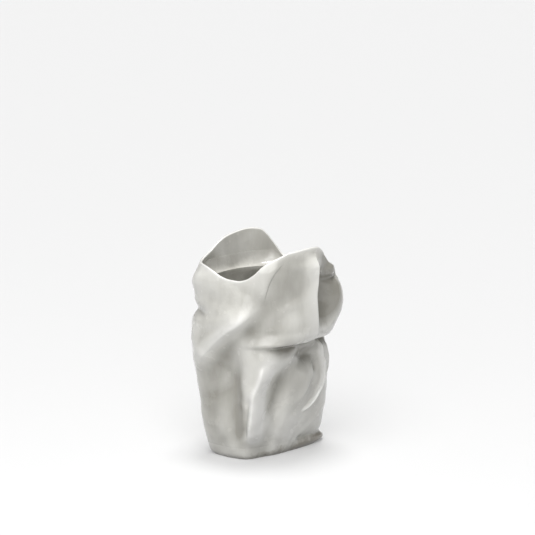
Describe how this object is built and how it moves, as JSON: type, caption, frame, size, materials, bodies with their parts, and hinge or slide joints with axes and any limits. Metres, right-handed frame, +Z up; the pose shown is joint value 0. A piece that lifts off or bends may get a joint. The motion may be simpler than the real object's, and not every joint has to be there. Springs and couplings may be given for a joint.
{
  "type": "owl vase",
  "caption": "Hand-built glazed ceramic vase in the form of a crumpled owl, with a flared crest behind an open mouth, for holding cut or dried stems.",
  "frame": {"origin": "centre of the flat face that the vase rests on", "axes": "+Z up, -Y the way the owl looks, -X towards the owl's right wing"},
  "size_m": [0.1417, 0.1294, 0.216],
  "materials": {
    "glaze": "opaque satin-gloss pale grey glaze over stoneware",
    "foot_glaze": "the same glaze, thinner and a little duller along the foot",
    "throat_glaze": "the same glaze inside the mouth"
  },
  "bodies": {
    "root": {"base_slab": "foot_glaze", "breast_wall": "glaze", "right_wing": "glaze", "left_wing": "glaze", "back_wall": "glaze", "right_shoulder": "glaze", "left_shoulder": "glaze", "right_face": "glaze", "left_face": "glaze", "back_crest": "glaze", "throat_ring": "throat_glaze"}
  },
  "joints": []
}
